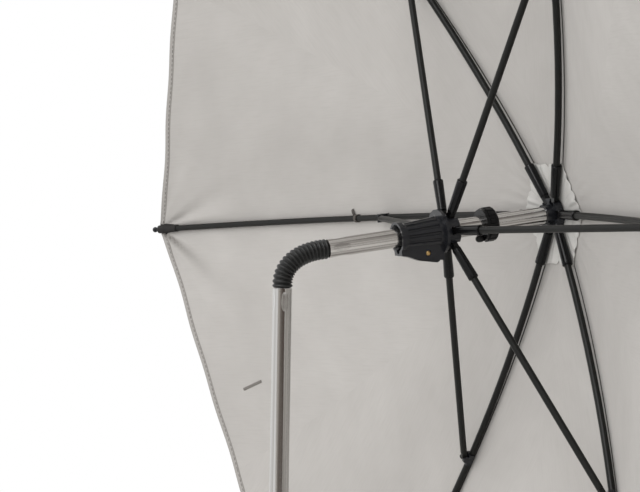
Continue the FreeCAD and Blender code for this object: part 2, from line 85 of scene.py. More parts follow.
def fill(tree, node, inputs):
    """Sets a node's properties and input values, and links the inputs that are given a socket."""
    for name, value in inputs.items():
        if isinstance(value, bpy.types.NodeSocket):
            tree.links.new(value, node.inputs[name])
        elif isinstance(name, str) and name not in node.inputs:
            setattr(node, name, value)
        else:
            node.inputs[name].default_value = value


def add_node(tree, kind, inputs=(), out=0):
    """One output of a new node, from its inputs as values or as outputs of other nodes."""
    node = tree.nodes.new(kind)
    fill(tree, node, dict(inputs))
    return node.outputs[out] if node.outputs else None


def maths(tree, operation, *values):
    """The result of a maths node."""
    return add_node(tree, "ShaderNodeMath", {"operation": operation, **dict(enumerate(values))})


def ranged(tree, value, to=(0.0, 1.0), source=(0.0, 1.0), **settings):
    """A value carried from its own range to another."""
    ends = {"From Min": source[0], "From Max": source[1], "To Min": to[0], "To Max": to[1]}
    return add_node(tree, "ShaderNodeMapRange", {**settings, **ends, "Value": value})


def tinted(tree, share, *tints):
    """A colour between two tints, each a hex value or an output of a node."""
    low, high = (linear(tint) if isinstance(tint, str) else tint for tint in tints)
    return add_node(tree, "ShaderNodeMix", {"data_type": "RGBA", 0: share, 6: low, 7: high}, 2)


def placed(tree):
    """The place on a piece, in metres."""
    return add_node(tree, "ShaderNodeTexCoord", out="Object")


def speckle(tree, place, grain, detail, roughness=0.5):
    """Noise of a grain size in metres."""
    return add_node(tree, "ShaderNodeTexNoise",
                    {"Vector": place, "Scale": 1 / grain, "Detail": detail, "Roughness": roughness})


def new_material(name):
    """An empty node material with a Principled shader on its output."""
    material = bpy.data.materials.new(name)
    material.use_nodes = True
    tree = material.node_tree
    tree.nodes.clear()
    shader = tree.nodes.new("ShaderNodeBsdfPrincipled")
    add_node(tree, "ShaderNodeOutputMaterial", {"Surface": shader.outputs["BSDF"]})
    return material, tree, shader


def looking(tree):
    """1 on a ray by which the camera sees something directly, in a mirror or through glass."""
    rays = [add_node(tree, "ShaderNodeLightPath", out="Is %s Ray" % kind)
            for kind in ("Camera", "Glossy", "Transmission")]
    return maths(tree, "MAXIMUM", maths(tree, "MAXIMUM", rays[0], rays[1]), rays[2])


def flat_card(name, centre, sideways, upwards, material):
    """A rectangle of the studio, from its centre and its two half widths."""
    corners = [centre + sideways * a + upwards * b for a, b in ((-1, -1), (1, -1), (1, 1), (-1, 1))]
    mesh = bpy.data.meshes.new(name)
    mesh.from_pydata(corners, [], [(0, 1, 2, 3)])
    mesh.materials.append(material)
    card = bpy.data.objects.new(name, mesh)
    scene.collection.objects.link(card)
    return card


HALF_FLOOR = 7.0
FLOOR_DROP = 0.001
FLOOR_FADE = (0.7, 1.7)
floor_paint, tree, shader = new_material("matt floor paint")
fill(tree, shader, {"Base Color": linear("#EDEDEC"), "Roughness": 0.9})
reach = add_node(tree, "ShaderNodeVectorMath", {"operation": "LENGTH", 0: placed(tree)}, "Value")
distant = ranged(tree, reach, source=FLOOR_FADE, interpolation_type="SMOOTHSTEP")
white = add_node(tree, "ShaderNodeEmission", {"Color": (1, 1, 1, 1), "Strength": 1.0})
share = maths(tree, "MULTIPLY", looking(tree), distant)
mixed = add_node(tree, "ShaderNodeMixShader", {0: share, 1: shader.outputs["BSDF"], 2: white})
fill(tree, tree.nodes["Material Output"], {"Surface": mixed})
studio_floor = flat_card("studio_floor", Vector((0.0, 0.0, -FLOOR_DROP)), Vector((HALF_FLOOR, 0.0, 0.0)),
                         Vector((0.0, HALF_FLOOR, 0.0)), floor_paint)

surround = bpy.data.worlds.new("white surround")
scene.world = surround
surround.use_nodes = True
tree = surround.node_tree
tree.nodes.clear()
soft_light = add_node(tree, "ShaderNodeBackground", {"Color": linear("#FFFDFA"), "Strength": 0.62})
white = add_node(tree, "ShaderNodeBackground", {"Color": (1, 1, 1, 1), "Strength": 1.0})
mixed = add_node(tree, "ShaderNodeMixShader", {0: looking(tree), 1: soft_light, 2: white})
add_node(tree, "ShaderNodeOutputWorld", {"Surface": mixed})


LIT_MIDDLE = Vector((0.1, 0.0, 0.45))


def soft_lamp(name, place, width, watts):
    """A square softbox that faces the middle of the canopy."""
    lamp = bpy.data.lights.new(name, "AREA")
    lamp.shape = "SQUARE"
    lamp.size = width
    lamp.energy = watts
    holder = bpy.data.objects.new(name, lamp)
    holder.location = place
    holder.rotation_euler = (LIT_MIDDLE - Vector(place)).to_track_quat("-Z", "Y").to_euler()
    holder.visible_glossy = False
    holder.visible_camera = False
    scene.collection.objects.link(holder)


soft_lamp("key_softbox", (-1.4, -1.3, 1.7), 2.2, 21.0)
soft_lamp("fill_softbox", (-1.6, 0.7, 0.5), 1.8, 9.0)

# Camera: a long lens, fitted to the stem, gooseneck, ribs and hem in the photograph. It stands 1.04 m from
# the gooseneck, nearly level with it, and looks at the canopy's inside.
CAMERA_AZIMUTH = math.radians(22.136)
CAMERA_TILT = math.radians(-1.207)
CAMERA_ROLL = math.radians(0.964)
CAMERA_REACH = 1.03609
CAMERA_SHIFT = (0.01948, 0.02186)
NECK_FOOT = Vector((0.0, 0.0, 0.420))
ahead = Vector((math.sin(CAMERA_AZIMUTH) * math.cos(CAMERA_TILT),
                math.cos(CAMERA_AZIMUTH) * math.cos(CAMERA_TILT), math.sin(CAMERA_TILT)))
level = Vector((math.cos(CAMERA_AZIMUTH), -math.sin(CAMERA_AZIMUTH), 0.0))
upright = level.cross(ahead)
right = level * math.cos(CAMERA_ROLL) + upright * math.sin(CAMERA_ROLL)
upward = upright * math.cos(CAMERA_ROLL) - level * math.sin(CAMERA_ROLL)
eye = NECK_FOOT - ahead * CAMERA_REACH + right * CAMERA_SHIFT[0] + upward * CAMERA_SHIFT[1]
lens = bpy.data.cameras.new("photo_camera")
lens.sensor_width = 36.0
lens.lens = 112.5
lens.clip_start = 0.05
camera = bpy.data.objects.new("photo_camera", lens)
facing = Matrix((right, upward, -ahead)).transposed().to_4x4()
camera.matrix_world = Matrix.Translation(eye) @ facing
scene.collection.objects.link(camera)
scene.camera = camera

# Flag: a wide brown card behind the camera, out of its sight, which only polished surfaces mirror.
# It gives the chrome and the black plastics the dark side of the room.
FLAG_SIZE = (3.6, 1.25)
FLAG_AWAY = 1.3
FLAG_TURN = math.radians(5)
FLAG_DIP = math.radians(-11)
FLAG_FADE = (-1.6, 0.1)
behind = Vector((-math.sin(CAMERA_AZIMUTH), -math.cos(CAMERA_AZIMUTH), 0.0))
toward = (behind * math.cos(FLAG_TURN) + level * math.sin(FLAG_TURN)) * math.cos(FLAG_DIP)
toward = toward + Vector((0, 0, math.sin(FLAG_DIP)))
flag_side = Vector((0, 0, 1)).cross(toward).normalized()
flag_up = toward.cross(flag_side)
flag_centre = NECK_FOOT + toward * FLAG_AWAY
felt, tree, shader = new_material("brown felt card")
swept = add_node(tree, "ShaderNodeVectorMath",
                 {"operation": "DOT_PRODUCT", 0: placed(tree), 1: tuple(flag_side)}, "Value")
middle = flag_side.dot(flag_centre)
shade = ranged(tree, swept, source=(middle + FLAG_FADE[0], middle + FLAG_FADE[1]))
fill(tree, shader, {"Base Color": tinted(tree, shade, "#CFC9C3", "#6A5F59"), "Roughness": 1.0})
flag_card = flat_card("flag_card", flag_centre, flag_side * FLAG_SIZE[0] / 2, flag_up * FLAG_SIZE[1] / 2,
                      felt)

# Glint card: a small bright reflector up on the left, behind the camera. Only gloss mirrors it, as a fine
# light on the rounded edges.
GLINT_SIZE = 0.55
glint_centre = NECK_FOOT + (behind * 0.75 - level * 0.7 + Vector((0, 0, 1.0))).normalized() * FLAG_AWAY
glint_turn = (glint_centre - NECK_FOOT).to_track_quat("Z", "Y")
glare, tree, shader = new_material("bright reflector")
fill(tree, shader, {"Emission Color": (1, 1, 1, 1), "Emission Strength": 6.0})
glint_card = flat_card("glint_card", glint_centre, glint_turn @ Vector((GLINT_SIZE / 2, 0.0, 0.0)),
                       glint_turn @ Vector((0.0, GLINT_SIZE / 2, 0.0)), glare)
for card in (flag_card, glint_card):
    card.visible_camera = False
    card.visible_diffuse = False
    card.visible_shadow = False


# Stem: a thin steel tube of 10 mm, drawn, polished and chromed, pressed onto the gooseneck's core by four
# crimp marks. A black moulded plug closes the foot.
def dressed(node, material, soft_edge=0.0, smooth_angle=35.0, steps=2):
    """A copy of a rigid solid with joined corners, smooth round faces and slightly rounded edges."""
    source = nodes[node]
    mesh = source.data.copy()
    mesh.materials.clear()
    mesh.materials.append(material)
    form = bmesh.new()
    form.from_mesh(mesh)
    bmesh.ops.remove_doubles(form, verts=form.verts, dist=2e-6)
    bmesh.ops.dissolve_degenerate(form, edges=form.edges, dist=1e-6)
    bmesh.ops.dissolve_limit(form, angle_limit=math.radians(0.6), verts=form.verts, edges=form.edges)
    for face in form.faces:
        face.smooth = True
        face.material_index = 0
    form.to_mesh(mesh)
    form.free()
    mesh.set_sharp_from_angle(angle=math.radians(smooth_angle))
    piece = bpy.data.objects.new(node + "_piece", mesh)
    scene.collection.objects.link(piece)
    if soft_edge:
        bevel = piece.modifiers.new("moulded edges", "BEVEL")
        bevel.width = soft_edge / 1000
        bevel.segments = steps
        bevel.limit_method = "ANGLE"
        bevel.angle_limit = math.radians(smooth_angle)
        bevel.harden_normals = True
        evaluated = piece.evaluated_get(bpy.context.evaluated_depsgraph_get())
        piece.data = bpy.data.meshes.new_from_object(evaluated)
        piece.modifiers.clear()
    body = source["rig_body"]
    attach(piece, body)
    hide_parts(node)
    return piece


# Chromium plate over drawn steel: a soft mirror with faint draw lines and painted reflection streaks along
# it.
STREAK_SPACING = 0.0012


def chromed(name, lean, streaks):
    """Chromed drawn steel for a tube that leans from upright."""
    material, tree, shader = new_material(name)
    stood = add_node(tree, "ShaderNodeMapping", {"Rotation": (0.0, -lean, 0.0), "Vector": placed(tree)})
    along = add_node(tree, "ShaderNodeMapping",
                     {"Scale": (1 / STREAK_SPACING, 1 / STREAK_SPACING, 5.0), "Vector": stood})
    lines = speckle(tree, along, 1.0, 2.0)
    # Painted reflection: the base colour is streaked light and dark along the tube, together with the draw
    # lines.
    draw_line_and_reflection_streak = ranged(tree, lines, source=(0.36, 0.62))
    groove = add_node(tree, "ShaderNodeBump", {"Strength": 0.45, "Distance": 0.0001, "Height": lines})
    fill(tree, shader, {"Base Color": tinted(tree, draw_line_and_reflection_streak, *streaks), "Metallic": 1.0,
                        "Roughness": ranged(tree, lines, (0.1, 0.26)), "Normal": groove})
    return material


TUBE_RADIUS = 0.005
DENT_DEPTH = 0.00008
ROUND_ERROR = 0.00002


def true_round(tube, foot, lean):
    """Exact round shading on the faces of a tube's outside, and a crisp rim round its pressed dents."""
    line = Vector((math.sin(lean), 0.0, math.cos(lean)))
    mesh = tube.data
    aways = []
    for vertex in mesh.vertices:
        away = vertex.co - foot
        aways.append(away - line * away.dot(line))
    shading = [Vector(corner.vector) for corner in mesh.corner_normals]
    dent_corners = []
    dent_facing = [Vector() for vertex in mesh.vertices]
    for polygon in mesh.polygons:
        centre = Vector(polygon.center) - foot
        deep = TUBE_RADIUS - (centre - line * centre.dot(line)).length
        on_tube = all(abs(aways[i].length - TUBE_RADIUS) < ROUND_ERROR for i in polygon.vertices)
        if on_tube and deep < DENT_DEPTH:
            for corner in polygon.loop_indices:
                shading[corner] = aways[mesh.loops[corner].vertex_index].normalized()
        elif on_tube:
            for corner in polygon.loop_indices:
                dent_corners.append(corner)
                dent_facing[mesh.loops[corner].vertex_index] += polygon.normal * polygon.area
    for corner in dent_corners:
        shading[corner] = dent_facing[mesh.loops[corner].vertex_index].normalized()
    mesh.normals_split_custom_set(shading)


stem_tube = dressed("lower_tube", chromed("chromed drawn steel of the stem", 0.0, ("#B4B2AF", "#D0CFCD")))
true_round(stem_tube, Vector((0.0, 0.0, 0.0)), 0.0)

# Injection-moulded plastics: deep black with a soft gloss, and a fine mould texture that breaks the
# highlights. The hubs are ABS. The stop collar and the sockets that turn on the pins are a blacker nylon.
MOULD_GRAIN = 0.0006
MOULD_CLOUD = 0.012


def mottled(name, grain, tints, detail=3.0):
    """A material whose colour wanders between two tints."""
    material, tree, shader = new_material(name)
    noise = speckle(tree, placed(tree), grain, detail)
    fill(tree, shader, {"Base Color": tinted(tree, noise, *tints)})
    return material, tree, shader, noise


def moulded(name, tints, shine):
    """A moulded black plastic between two tints."""
    material, tree, shader, _ = mottled(name, MOULD_CLOUD, tints, 2.0)
    grain = speckle(tree, placed(tree), MOULD_GRAIN, 3.0)
    bump = add_node(tree, "ShaderNodeBump", {"Strength": 0.04, "Distance": 0.00005, "Height": grain})
    fill(tree, shader, {"Roughness": ranged(tree, grain, (0.14, 0.24)), "Specular IOR Level": shine,
                        "Normal": bump})
    return material


abs_black = moulded("moulded black ABS", ("#1A1B1F", "#222327"), 0.4)
socket_nylon = moulded("moulded black nylon", ("#0A0A0B", "#111112"), 0.2)
dressed("foot_plug", abs_black, soft_edge=0.3)

# Core of the gooseneck: plain bright steel rods inside the sleeve, out of sight, with a stub crimped into
# each tube. The pins of the two hubs are of the same steel.
steel, tree, shader = new_material("plain bright steel")
scuff = speckle(tree, placed(tree), 0.0015, 3.0)
fill(tree, shader, {"Base Color": linear("#B9B9BA"), "Metallic": 1.0,
                    "Roughness": ranged(tree, scuff, (0.22, 0.4))})
for core in ("neck_stub_lower", "neck_core_1", "neck_core_2", "neck_stub_upper"):
    dressed(core, steel)

# Gooseneck sleeve: a length of corrugated black vinyl hose pulled over the core. It is in three pieces, cut
# where the core's bends meet.
NECK_RUN_LOW = 2.5
NECK_BENDS = ((14.0, 32.0), (17.5, 27.0), (32.0, 22.5))
NECK_RUN_HIGH = 5.0
STEM_TOP = 420.0


def neck_point(station):
    """Place in metres and heading in radians, at a station in millimetres along the gooseneck."""
    x, z, heading = 0.0, STEM_TOP, 0.0
    stretches = [(NECK_RUN_LOW, 0.0)]
    stretches += [(radius * math.radians(turn), math.radians(turn)) for radius, turn in NECK_BENDS]
    stretches += [(NECK_RUN_HIGH, 0.0)]
    for length, turn in stretches:
        part = min(station, length)
        bend = turn * part / length
        chord = part if bend == 0 else part * math.sin(bend / 2) / (bend / 2)
        x += chord * math.sin(heading + bend / 2)
        z += chord * math.cos(heading + bend / 2)
        heading += bend
        station -= part
        if station <= 0:
            break
    return Vector((x, 0.0, z)) / 1000, heading


bend_lengths = [radius * math.radians(turn) for radius, turn in NECK_BENDS]
bend_starts = [NECK_RUN_LOW + sum(bend_lengths[:i]) for i in range(4)]
NECK_LENGTH = bend_starts[3] + NECK_RUN_HIGH
SHAFT_FOOT, SHAFT_TILT = neck_point(NECK_LENGTH)

SLEEVE_RIBS = 17
SLEEVE_CREST = 0.0053
SLEEVE_ROOT = 0.00438
CREST_ROUNDING = 0.55
POINTS_PER_RIB = 14
RING_POINTS = 48
sleeve_vinyl, tree, shader, dust = mottled("soft black vinyl hose", 0.0025, ("#0D0D0D", "#1B1B1A"), 4.0)
fill(tree, shader, {"Roughness": ranged(tree, dust, (0.36, 0.52))})


def new_group(name, inputs, output):
    """An empty node group that works along a line, its input node, and the identifiers of its inputs."""
    tree = bpy.data.node_groups.new(name, "GeometryNodeTree")
    tree.interface.new_socket("Line", in_out="INPUT", socket_type="NodeSocketGeometry")
    identifiers = {}
    for label, value in inputs.items():
        kind = "NodeSocketInt" if isinstance(value, int) else "NodeSocketFloat"
        socket = tree.interface.new_socket(label, in_out="INPUT", socket_type=kind)
        socket.default_value = value
        identifiers[label] = socket.identifier
    tree.interface.new_socket(output, in_out="OUTPUT", socket_type="NodeSocketGeometry")
    return tree, tree.nodes.new("NodeGroupInput"), identifiers


def end_group(tree, shape, material, output):
    """Ends a node group with smooth faces, as one plain mesh of a material."""
    smooth = add_node(tree, "GeometryNodeSetShadeSmooth", {"Geometry": shape})
    real = add_node(tree, "GeometryNodeRealizeInstances", {"Geometry": smooth})
    coloured = add_node(tree, "GeometryNodeSetMaterial", {"Material": material, "Geometry": real})
    add_node(tree, "NodeGroupOutput", {output: coloured})


sleeve_tree, given, sleeve_inputs = new_group(
    "corrugated sleeve", {"Start": 0.0, "End": 1.0, "Ribs": SLEEVE_RIBS, "Crest Radius": SLEEVE_CREST,
                          "Root Radius": SLEEVE_ROOT}, "Sleeve")
fine = maths(sleeve_tree, "MULTIPLY", given.outputs["Ribs"], POINTS_PER_RIB)
line = add_node(sleeve_tree, "GeometryNodeResampleCurve", {"Curve": given.outputs["Line"], "Count": fine})
station = add_node(sleeve_tree, "GeometryNodeSplineParameter", out="Factor")
turns = maths(sleeve_tree, "MULTIPLY", station, given.outputs["Ribs"])
wave = maths(sleeve_tree, "COSINE", maths(sleeve_tree, "MULTIPLY", turns, 2 * math.pi))
crest = maths(sleeve_tree, "POWER", ranged(sleeve_tree, wave, source=(1.0, -1.0)), CREST_ROUNDING)
radius = add_node(sleeve_tree, "ShaderNodeMix",
                  {"data_type": "FLOAT", 0: crest, 2: given.outputs["Root Radius"],
                   3: given.outputs["Crest Radius"]})
held = add_node(sleeve_tree, "GeometryNodeStoreNamedAttribute",
                {"data_type": "FLOAT", "domain": "POINT", "Name": "sleeve_radius", "Geometry": line,
                 "Value": radius})
cut = add_node(sleeve_tree, "GeometryNodeTrimCurve",
               {"Curve": held, "Start": given.outputs["Start"], "End": given.outputs["End"]})
stored = add_node(sleeve_tree, "GeometryNodeInputNamedAttribute",
                  {"data_type": "FLOAT", "Name": "sleeve_radius"})
ring = add_node(sleeve_tree, "GeometryNodeCurvePrimitiveCircle", {"Resolution": RING_POINTS, "Radius": 1.0})
tube = add_node(sleeve_tree, "GeometryNodeCurveToMesh",
                {"Fill Caps": True, "Curve": cut, "Profile Curve": ring, "Scale": stored})
end_group(sleeve_tree, tube, sleeve_vinyl, "Sleeve")

SLEEVE_GAP = 0.3
SLEEVE_STEPS = 160
sleeve_run = NECK_LENGTH - 2 * SLEEVE_GAP
sleeve_cuts = [0.0] + [(s - SLEEVE_GAP) / sleeve_run for s in bend_starts[1:3]] + [1.0]


def grown_along(name, points, group, values):
    """A piece that a node group makes along a line of points, as one plain mesh."""
    line_data = bpy.data.curves.new(name, "CURVE")
    line_data.dimensions = "3D"
    spline = line_data.splines.new("POLY")
    spline.points.add(len(points) - 1)
    for point, where in zip(spline.points, points):
        point.co = (*where, 1.0)
    holder = bpy.data.objects.new(name, line_data)
    scene.collection.objects.link(holder)
    modifier = holder.modifiers.new(group.name, "NODES")
    modifier.node_group = group
    for identifier, value in values.items():
        modifier[identifier] = value
    evaluated = holder.evaluated_get(bpy.context.evaluated_depsgraph_get())
    mesh = bpy.data.meshes.new_from_object(evaluated)
    bpy.data.objects.remove(holder)
    piece = bpy.data.objects.new(name, mesh)
    scene.collection.objects.link(piece)
    return piece


sleeve_line = [neck_point(SLEEVE_GAP + sleeve_run * j / SLEEVE_STEPS)[0] for j in range(SLEEVE_STEPS + 1)]
for i in range(3):
    piece = grown_along("neck_sleeve_%d" % (i + 1), sleeve_line, sleeve_tree,
                        {sleeve_inputs["Start"]: sleeve_cuts[i], sleeve_inputs["End"]: sleeve_cuts[i + 1]})
    neck_point(bend_starts[i])[0]
    neck_point(bend_starts[i + 1])[0]
    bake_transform(piece)
    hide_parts("neck_sleeve")

# Shaft: the upper tube, of the same chromed steel, pressed onto the other end of the core. It carries the
# runner, the stop collar and the crown.
# The shaft's tints lie far apart, so its streaks are mostly painted reflection.
shaft_tube = dressed("upper_tube",
                     chromed("chromed drawn steel of the shaft", SHAFT_TILT, ("#95918E", "#F6F5F3")))
true_round(shaft_tube, SHAFT_FOOT, SHAFT_TILT)

# Runner: a moulded black sleeve with flutes that slides on the tube, and a slotted hub for the stretchers.
# Its latch lever turns on a brass pin in a housing under the shaft.
dressed("runner_body", abs_black, soft_edge=0.25)
dressed("latch_lever", abs_black, soft_edge=0.4)
brass, tree, shader, _ = mottled("turned brass", 0.0008, ("#C0975A", "#E6C88E"))
fill(tree, shader, {"Metallic": 1.0, "Roughness": 0.28})
dressed("latch_pin", brass, soft_edge=0.95, steps=5)
dressed("runner_pins", steel)

# Stop collar: a knurled black ring clamped on the tube by a screw, where the open runner comes to rest.
dressed("stop_collar", socket_nylon, soft_edge=0.15)
blacking, tree, shader, _ = mottled("blackened screw steel", 0.001, ("#151515", "#2E2E2E"))
fill(tree, shader, {"Metallic": 0.6, "Roughness": 0.4})
dressed("collar_screw", blacking, soft_edge=0.5)

# Stretchers and ribs: pultruded glass fibre rods with a dark lacquer, glued into moulded root sockets that
# turn on pins in the two hubs. Clips on the ribs hold the stretchers' outer ends, and ball tips end the ribs.
rod_lacquer, tree, shader = new_material("dark lacquered glass fibre")
fibre = speckle(tree, placed(tree), 0.0012, 4.0, 0.6)
fill(tree, shader, {"Base Color": tinted(tree, fibre, "#0F0F0E", "#1C1C1A"), "Specular IOR Level": 0.24,
                    "Roughness": ranged(tree, fibre, (0.3, 0.46))})
SPOKES = range(1, 7)
for k in SPOKES:
    dressed("rib_%d" % k, rod_lacquer)
    dressed("stretcher_%d" % k, rod_lacquer, soft_edge=0.2)
    dressed("rib_socket_%d" % k, socket_nylon, soft_edge=0.25)
    dressed("stretcher_socket_%d" % k, socket_nylon, soft_edge=0.25)
    dressed("rib_joint_%d" % k, abs_black, soft_edge=0.3)
    dressed("rib_tip_%d" % k, abs_black, soft_edge=0.3)

# Crown: the moulded top hub with its pins, and a domed cap with a short spike that clamps the cloth outside.
dressed("crown", abs_black, soft_edge=0.2)
dressed("crown_pins", steel)
dressed("crown_cap", abs_black, soft_edge=0.4)

# Canopy: six triangular gores of pale grey pongee, sewn together along the ribs with a flat seam. The hem is
# turned once and stitched, and the corners are sewn over the rib tips. Each gore is one curved sheet in two
# halves, because each half goes with its own rib when the parasol closes.
CROWN_STATION = 134.5
PIVOT_RADIUS = 7.8
RIB_OPEN = math.radians(83.3)
RIB_SOCKET = 24.0
RIB_BEND = 935.0
CLOTH_START = -2.8
CLOTH_END = 381.5
CLOTH_THICKNESS = 0.5
CROWN_LIFT = 3.85
RIB_LIFT = 2.7
LIFT_SPAN = (30.0, 180.0)
HEM_SAG = 1.8
HEM_PULL = 0.35
GORE_DIP = 6.0
ROSETTE_EDGE = 24.5
HEM_WIDTH = 3.7
HEM_BLUR = 0.8
HEM_FREE = (2.5, 4.5)
HALF_GORE = math.radians(30)
LEFT, RIGHT = -1, 1


def ease(share):
    """A smooth step from 0 to 1."""
    share = np.clip(share, 0.0, 1.0)
    return share * share * (3 - 2 * share)


def between(value, span):
    """A smooth step from the start of a span to its end."""
    return ease((value - span[0]) / (span[1] - span[0]))


def rib_line(distance):
    """Radius, station and heading of a rib's centreline at a distance from its pin, in millimetres."""
    straight = np.minimum(distance, RIB_SOCKET)
    bent = np.maximum(distance - RIB_SOCKET, 0.0)
    half = bent / RIB_BEND / 2
    chord = bent * np.sinc(half / np.pi)
    radius = PIVOT_RADIUS + straight * math.sin(RIB_OPEN) + chord * np.sin(RIB_OPEN - half)
    station = CROWN_STATION - straight * math.cos(RIB_OPEN) - chord * np.cos(RIB_OPEN - half)
    return radius, station, RIB_OPEN - 2 * half


def on_spoke(k, x, y, z, free=1.0):
    """From a rib's own plane, in millimetres, to the shared frame, in metres. A direction has free = 0."""
    turn = Matrix.Rotation(SHAFT_TILT, 4, "Y") @ Matrix.Rotation(math.radians(90 + 60 * (k - 1)), 4, "Z")
    place = np.array(Matrix.Translation(SHAFT_FOOT) @ turn)
    points = np.stack([x / 1000, y / 1000, z / 1000, np.full(np.shape(x), free)], -1)
    return points @ place[:3].T


# Folds of the cloth, in millimetres: a ripple on the hem, fans of fine folds from the rib tips, a wave over
# each gore and pleats by the crown. They fade towards the seams, and their phases differ from gore to gore.
HALF_HEM = rib_line(CLOTH_END)[0] * math.sin(HALF_GORE)
RIPPLE_HEIGHT, RIPPLE_LENGTH, RIPPLE_FADE = 0.45, 61.0, 38.0
FAN_HEIGHT, FAN_START, FAN_FADE = 0.5, 16.0, 80.0
WAVE_HEIGHT, WAVE_SPAN = 0.5, (70.0, 190.0)
SEAM_FLAT, CROWN_FLAT = (0.0, 8.0), (45.0, 115.0)
PLEAT_DEPTH, PLEAT_START, PLEAT_FADE, PLEAT_FLAT = 0.22, (0.0, 8.0), 26.0, (0.0, 6.0)

# Creases at the two ends of a gore's hem: slant from the hem in radians, depth in millimetres, spread, and
# the strength of painted shade in it, where the cloth is also thickened. A low swell runs beside each crease.
TIP_CREASES = {LEFT: ((0.84, 5.0, 0.10, 0.06),), RIGHT: ((0.60, 6.0, 0.11, 0.7), (0.30, 2.5, 0.08, 0.0))}
CREASE_START, CREASE_FADE = 25.0, 38.0
SWELL_HEIGHT, SWELL_BESIDE = 0.5, 0.22
CREASE_SHADE_SHARE, CREASE_SHADE_WIDTH, CREASE_SHADE_FADE, CREASE_SHADE_SPAN = 0.7, 1.9, 24.0, (5.0, 14.0)


def gore_of(k, hand):
    """The gore on one hand of rib k."""
    return k if hand == RIGHT else (k - 2) % 6 + 1


def crease_slant(gore, tip, crease):
    """The slant of a crease, which differs a little from gore to gore."""
    return crease + 0.03 * math.sin(2.3 * gore + 1.9 * tip + 3 * crease)


def pinched_crease_shade(gore, tip, beside, width, down):
    """Painted shade in the first crease by a rib's tip, where the cloth is also thickened: 1 at its darkest.
    """
    reach = HALF_HEM - width + beside
    far = np.hypot(reach, down)
    crease, _, spread, crease_shade_strength = TIP_CREASES[tip][0]
    broad = np.maximum(CREASE_SHADE_SHARE * spread, CREASE_SHADE_WIDTH / np.maximum(far, 1.0))
    away = (np.arctan2(down, reach) - crease_slant(gore, tip, crease)) / broad
    return crease_shade_strength * np.exp(-away ** 2 - far / CREASE_SHADE_FADE) * between(far, CREASE_SHADE_SPAN)


def folds(gore, across, distance, down, radius):
    """Height of the folds that fan from the crown and the rib tips, and ripple along the hem."""
    x = across * radius * math.sin(HALF_GORE)
    ripple = np.sin(2 * np.pi * x / RIPPLE_LENGTH + 2.1 * gore)
    height = RIPPLE_HEIGHT * np.exp(-down / RIPPLE_FADE) * ripple
    for tip in (LEFT, RIGHT):
        reach = HALF_HEM - tip * x
        far = np.hypot(reach, down)
        angle = np.arctan2(down, reach)
        phase = 1.7 * gore + 2.6 * tip
        fan = np.sin(11 * angle + phase) + 0.6 * np.sin(19 * angle + 2.1 * phase)
        height = height + FAN_HEIGHT * fan * np.exp(-far / FAN_FADE) * (1 - np.exp(-far / FAN_START))
        for crease, depth, spread, _ in TIP_CREASES[tip]:
            away = angle - crease_slant(gore, tip, crease)
            dent = np.exp(-(away / spread) ** 2)
            dent = dent - SWELL_HEIGHT * np.exp(-((away - SWELL_BESIDE) / spread) ** 2)
            height = height + depth * dent * np.exp(-far / CREASE_FADE) * far / (far + CREASE_START)
    wave = np.sin(2.2 * np.pi * across + 1.3 * gore)
    height = height + WAVE_HEIGHT * wave * between(distance, WAVE_SPAN)
    beside = (1 - np.abs(across)) * radius * math.sin(HALF_GORE)
    height = height * between(beside, SEAM_FLAT) * between(distance, CROWN_FLAT)
    pleats = np.sin(13 * across + 1.9 * gore) + 0.7 * np.sin(22 * across + 0.7 * gore)
    past = np.maximum(distance - ROSETTE_EDGE, 0.0)
    fade = np.exp(-past / PLEAT_FADE)
    return height + PLEAT_DEPTH * pleats * between(past, PLEAT_START) * fade * between(beside, PLEAT_FLAT)


def gore_points(k, hand, side, distance, end, lift):
    """Points of one half gore. side runs from its rib (0) to mid gore (1), on one hand of rib k."""
    gore = gore_of(k, hand)
    free = np.clip((distance - ROSETTE_EDGE) / (end - ROSETTE_EDGE), 0.0, 1.0)
    dip = GORE_DIP * np.sin(side * np.pi / 2) ** 2 * np.sin(free * np.pi) ** 2
    radius, station, heading = rib_line(distance)
    height = lift - dip + folds(gore, hand * (side - 1), distance, end - distance, radius)
    x = radius + np.cos(heading) * height
    z = station + np.sin(heading) * height
    return on_spoke(k, x * (1 - side * math.sin(HALF_GORE) ** 2),
                    hand * x * side * math.sin(HALF_GORE) * math.cos(HALF_GORE), z)


def cloth_lift(distance):
    """How far the cloth lies above a rib's centreline."""
    return CROWN_LIFT + (RIB_LIFT - CROWN_LIFT) * between(distance, LIFT_SPAN)


def hem_end(side):
    """Where the cloth ends, which is nearer the crown between the ribs."""
    return CLOTH_END - HEM_SAG * (1 - (1 - np.minimum(side / HEM_PULL, 1.0)) ** 2)


def turned_hem(beside, down):
    """Where the cloth lies double: 1 on the turned hem, 0 elsewhere."""
    return ease((HEM_WIDTH + HEM_BLUR / 2 - down) / HEM_BLUR) * between(beside, HEM_FREE)


